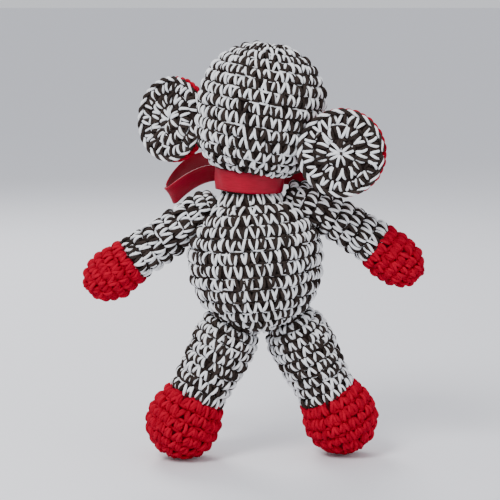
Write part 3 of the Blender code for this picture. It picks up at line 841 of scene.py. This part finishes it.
def make_muzzle():
    pile = Pile()
    keep = outside([HEAD], MUZZLE_SINK)
    crochet(pile, MUZZLE, MUZZLE_START, MUZZLE.length, WHITE_DARK, "muzzle",
            height=ROWS["muzzle"], keep=keep)
    add_base(pile, MUZZLE, BASE_START, MUZZLE.length, BASE_DEPTH)
    nodes = ["muzzle_cover", "muzzle_stuffing"]
    placed(pile.mesh("muzzle_crochet", RED_MATERIALS), "head", nodes)


def add_rim(pile, form, s, lift, plies):
    """A twisted strand that runs round an ear's edge."""
    angle = np.linspace(0.05, TAU - 0.05, 240)
    centres, normals = form.at(angle, np.full(angle.shape, s), np.full(angle.shape, lift))
    twist = TAU * EAR_RADIUS * TAU / RIM_TURN
    add_yarn(pile, centres[None], normals[None], np.zeros(1), np.array([twist]), plies, *ROPE_YARN)


def make_ears():
    layers = (("back", 1, MARL_MATERIALS, "marl_yarn"), ("front", -1, RED_MATERIALS, "red_yarn"))
    for side in SIDES:
        for layer, facing, materials, slot in layers:
            form = ear_form(side, facing)
            name = f"ear_{layer}_{side}"
            keep = outside([HEAD], EAR_CLEAR)
            pile = Pile()
            crochet(pile, form, EAR_CLEAR, EAR_FACE_END, WHITE_DARK, name,
                    height=ROWS["ear"], keep=keep)
            rim = name + "_rim"
            crochet(pile, form, EAR_RIM_START, form.length, DARK_ONLY, rim,
                    height=ROWS["ear_rim"], keep=keep)
            add_rim(pile, form, EAR_ROPE, -0.0002, WHITE_DARK)
            add_base(pile, form, BASE_START, form.length, EAR_BASE_DEPTH, around=64, rows=24)
            placed(pile.mesh(name + "_crochet", materials), f"ear_{side}", [name])


def split_at(form, node):
    """Where a limb changes from one cover to the other, as a distance along it from its root."""
    mesh = frame["nodes"][node].data
    points = np.array([v.co for v in mesh.vertices])
    points = points @ form.inverse[:3, :3].T + form.inverse[:3, 3]
    if abs(form.bend) > 1e-6:
        radius = ARM_LENGTH / form.bend
        if form.bend > 0:
            turn = np.arctan2(-points[:, 2], radius - points[:, 0])
        else:
            turn = np.arctan2(points[:, 2], points[:, 0] - radius)
        points[:, 2] = -turn / form.bend * ARM_LENGTH
    return float(np.interp(-points[:, 2].max(), -form.heights, form.s))


def make_limb(kind, side, form, end_name):
    """A limb's marl sleeve and its red hand or foot."""
    body = f"{kind}_{side}"
    sleeve, end = f"{kind}_sleeve_{side}", f"{end_name}_{side}"
    split = split_at(form, end)
    apex = LIMB_APEX[kind]
    pile = Pile()
    crochet(pile, form, ROOT_START, split + SEAM_OVERLAP, WHITE_DARK, sleeve,
            width=LIMB_WIDTH[kind], height=ROWS[kind], slant=-1, wild=LIMB_WILD[kind], apex=apex)
    add_base(pile, form, BASE_START, split, BASE_DEPTH, around=48, rows=24)
    settled(pile)
    nodes = [sleeve, f"{kind}_stuffing_{side}"]
    placed(pile.mesh(sleeve + "_crochet", MARL_MATERIALS), body, nodes)
    pile = Pile()
    radius, offset = END_YARN
    crochet(pile, form, split + 0.0006, form.length - 0.0008, WHITE_DARK, end,
            height=ROWS["end"], width=END_WIDTH, radius=radius, offset=offset, apex=apex)
    add_base(pile, form, split + 0.0003, form.length - 0.0002, BASE_DEPTH, around=48, rows=24)
    settled(pile)
    placed(pile.mesh(end + "_crochet", RED_MATERIALS), body, [end])


make_body()
make_head()
make_muzzle()
make_ears()
for side in SIDES:
    make_limb("arm", side, ARMS[side], "hand")
    make_limb("leg", side, LEGS[side], "foot")

# ---------------------------------------------------------------- face


def make_eyes():
    """Domed plastic eyes, each on the line of its own shank and washer."""
    for side in SIDES:
        eye = np.array([v.co for v in frame["nodes"][f"eye_{side}"].data.vertices])
        washer = np.array([v.co for v in frame["nodes"][f"eye_washer_{side}"].data.vertices])
        axis = unit(eye.mean(0) - washer.mean(0))
        top = (eye @ axis).max()
        base = washer.mean(0) + axis * (top - washer.mean(0) @ axis - EYE_DOME - EYE_RIM)
        quarter = np.linspace(0.0, math.pi / 2 - 0.04, 20)
        arc = [(EYE_RADIUS * math.cos(t), EYE_RIM + EYE_DOME * math.sin(t)) for t in quarter]
        pile = Pile()
        add_turned(pile, axis_frame(base, Vector(axis)), [*EYE_BACK, *arc])
        placed(pile.mesh(f"eye_{side}_polished", [EYE]), "head", [f"eye_{side}"])


def muzzle_points(x, z, lift):
    """World points and normals on the front of the muzzle at x and z from its middle."""
    size = np.array(MUZZLE_SIZE)
    y = -size[1] * np.sqrt(1 - (x / size[0]) ** 2 - (z / size[2]) ** 2)
    local = np.stack([x, y, z], -1)
    normal = unit(local / size**2)
    matrix = np.array(FACE @ Matrix.Translation(MUZZLE_AT))
    world = (local + normal * lift[:, None]) @ matrix[:3, :3].T + matrix[:3, 3]
    return world, normal @ matrix[:3, :3].T


def make_stitching():
    """The embroidered mouth and nostrils, in twisted black yarn.

    FACE is mirrored, so each nostril lies on the side opposite to the one in its name.
    """
    x = np.linspace(-MOUTH_HALF, MOUTH_HALF, 81)
    z = -MOUTH_DROP - MOUTH_CURVE * (1 - (x / MOUTH_HALF) ** 2)
    dips = np.sin(MOUTH_STITCHES * math.pi * (x / MOUTH_HALF + 1) / 2)
    lift = 0.0002 + 0.0009 * np.abs(dips) ** 0.5
    lift[[0, -1]] = -0.0012
    lines = [("mouth_yarn", "mouth_stitching", x, z, lift, 30.0)]
    for side, sign in SIDES.items():
        offset = np.linspace(-1.3, 1.3, 15) * NOSTRIL_HALF
        rise = 0.0008 - 0.0022 * np.abs(np.linspace(-1, 1, 15)) ** 4
        across, up = sign * (NOSTRIL_OUT + offset), NOSTRIL_UP - 0.4 * offset
        lines.append((f"nostril_yarn_{side}", f"nostril_stitch_{side}", across, up, rise, 6.0))
    for name, node, x, z, lift, twist in lines:
        centres, normals = muzzle_points(x, z, lift)
        pile = Pile()
        add_yarn(pile, centres[None], normals[None], np.zeros(1), np.array([twist]), (0, 0), *THREAD)
        placed(pile.mesh(name, [BLACK]), "head", [node])


# ---------------------------------------------------------------- neck ribbon


RIBBON_ACROSS = np.linspace(-1, 1, RIBBON_COLUMNS)[None]


def ribboned(pile, name, node):
    """Finishes a piece of the ribbon: places it on the torso in place of its CAD node."""
    obj = placed(pile.mesh(name, [SATIN]), "torso", [node])


def make_collar():
    """The ribbon round the neck, a little uneven where it was pulled tight."""
    angle = np.arange(96) * TAU / 96
    rng = seeded("collar")
    wave = sum(rng.uniform(0.5, 1) * np.sin(k * angle + rng.uniform(0, TAU)) for k in (3, 5, 8))
    radius = COLLAR_RADIUS + 0.00010 * wave
    tilt = np.array(frame_of(COLLAR_AT, (COLLAR_TILT, "Y")))
    local = np.stack([radius * np.cos(angle), radius * np.sin(angle), 0.0002 * np.sin(2 * angle + 1)], -1)
    middle = local @ tilt[:3, :3].T + tilt[:3, 3]
    across = np.broadcast_to(tilt[:3, 2], middle.shape)
    v = RIBBON_ACROSS
    crown = -0.0003 * v**2 + 0.00022 * np.sin(6 * angle + 2)[:, None] * v
    crown = crown + 0.00012 * np.sin(11 * angle[:, None] + 3 * v)
    pile = Pile()
    length = add_ribbon(pile, middle, across, crown, ring=True)
    ribboned(pile, "ribbon_round_neck", "ribbon_collar")


def make_knot():
    """The middle of the bow: the ribbon wrapped once round it, gathered at its edges."""
    angle = np.arange(40) * TAU / 40
    middle = np.stack([0 * angle, KNOT_SIZE[1] * np.cos(angle), KNOT_SIZE[2] * np.sin(angle)], -1) + KNOT_AT
    v = RIBBON_ACROSS
    crown = -0.0013 * np.abs(v) ** 2.5 + 0.00035 * np.cos(7 * v + 0.8 * np.sin(angle)[:, None])
    pile = Pile()
    across = np.broadcast_to((-1.0, 0, 0), middle.shape)
    length = add_ribbon(pile, middle, across, crown, 2 * KNOT_SIZE[0], ring=True)
    ribboned(pile, "bow_knot", "ribbon_knot")


def make_loops():
    """The two loops of the bow: each rises from the knot, swells and falls to its end."""
    for side, sign in SIDES.items():
        t = np.linspace(-1, 1, 97)
        share = (1 + np.cos(math.pi * t)) / 2
        swing = LOOP_HALF * np.sin(math.pi * t) * share**0.45 + 0.0007 * np.sign(t)
        rise = LOOP_ARCH[side] * 4 * share * (1 - share) - LOOP_FALL[side] * share**2
        x = sign * (LOOP_START + LOOP_LENGTH * share)
        cos, sin = math.cos(LOOP_LEAN[side]), math.sin(LOOP_LEAN[side])
        middle = np.stack([x, swing * cos, rise - swing * sin], -1) + KNOT_AT
        upward = np.stack([sign * 0.25 * share**2, sin + 0 * t, cos + 0 * t], -1)
        v = RIBBON_ACROSS
        gather = np.exp(-share * 9)[:, None]
        crown = 0.0009 * gather * np.cos(5 * v + t[:, None]) + 0.00025 * np.sin(7 * t[:, None] + 2 * v)
        pile = Pile()
        width = RIBBON_WIDTH * (1 - 0.28 * gather[:, 0])
        length = add_ribbon(pile, middle, upward, crown, width)
        ribboned(pile, f"bow_loop_{side}", f"ribbon_loop_{side}")


def make_tails():
    """The ribbon's loose ends, which hang from the knot and lie on the belly."""
    for side, sign in SIDES.items():
        t = np.linspace(0, 1, 41)
        height = KNOT_AT[2] - KNOT_SIZE[2] - 0.0012 - TAIL_FALL * t * TAIL_LENGTH
        belly = np.interp(height - BODY_AT[2], BODY.heights, BODY.radii)
        out = np.maximum(TAIL_OUT, belly + TAIL_LIFT) + 0.0003 * np.sin(9 * t)
        angle = sign * (TAIL_SPLAY[0] + TAIL_SPLAY[1] * t)
        way = np.stack([np.sin(angle), -np.cos(angle), 0 * angle], -1)
        middle = way * out[:, None] + np.stack([KNOT_AT[0] + 0 * t, COLLAR_AT[1] + 0 * t, height], -1)
        across = np.stack([-np.cos(angle), -np.sin(angle), 0.10 * sign * t**3 + 0 * angle], -1)
        v = RIBBON_ACROSS
        gather = np.exp(-t * 7)[:, None]
        crown = 0.0006 * gather * np.cos(5 * v) + 0.0002 * np.sin(6 * t[:, None] + v)
        pile = Pile()
        width = RIBBON_WIDTH * (1 - 0.25 * gather[:, 0])
        length = add_ribbon(pile, middle, across, crown, width)
        ribboned(pile, f"bow_end_{side}", f"ribbon_tail_{side}")


make_eyes()
make_stitching()
make_collar()
make_knot()
make_loops()
make_tails()

# ---------------------------------------------------------------- camera, lights and floor


def aimed(obj, at, target):
    obj.location = at
    obj.rotation_mode = "QUATERNION"
    obj.rotation_quaternion = (Vector(target) - Vector(at)).to_track_quat("-Z", "Y")
    bpy.context.scene.collection.objects.link(obj)
    return obj


def make_camera():
    lens = bpy.data.cameras.new("camera")
    lens.lens = 135.0
    lens.sensor_width = 36.0
    lens.clip_start, lens.clip_end = 0.02, 20.0
    lift = math.radians(CAMERA_LIFT)
    at = Vector(CAMERA_TARGET) + Vector((0, math.cos(lift), math.sin(lift))) * CAMERA_DISTANCE
    camera = aimed(bpy.data.objects.new("camera", lens), at, CAMERA_TARGET)
    bpy.context.scene.camera = camera


def area_light(name, at, size, power):
    lamp = bpy.data.lights.new(name, "AREA")
    lamp.shape = "DISK"
    lamp.size = size
    lamp.energy = power
    aimed(bpy.data.objects.new(name, lamp), at, (0, 0, 0.1))


def make_stage():
    bpy.ops.mesh.primitive_plane_add(size=80, location=(0, 0, -0.0002))
    floor = bpy.context.active_object
    floor.name = "floor"
    material, _, _, shader = new_material("pale_table")
    shader.inputs["Base Color"].default_value = (0.80, 0.80, 0.84, 1)
    shader.inputs["Roughness"].default_value = 0.6
    floor.data.materials.append(material)


def make_lights():
    world = bpy.data.worlds.new("studio")
    bpy.context.scene.world = world
    world.use_nodes = True
    background = world.node_tree.nodes["Background"]
    background.inputs["Color"].default_value = (0.93, 0.95, 1.0, 1)
    background.inputs["Strength"].default_value = 0.85
    for name, at, size, power in LIGHTS:
        area_light(name, at, size, power)


make_camera()
make_stage()
make_lights()
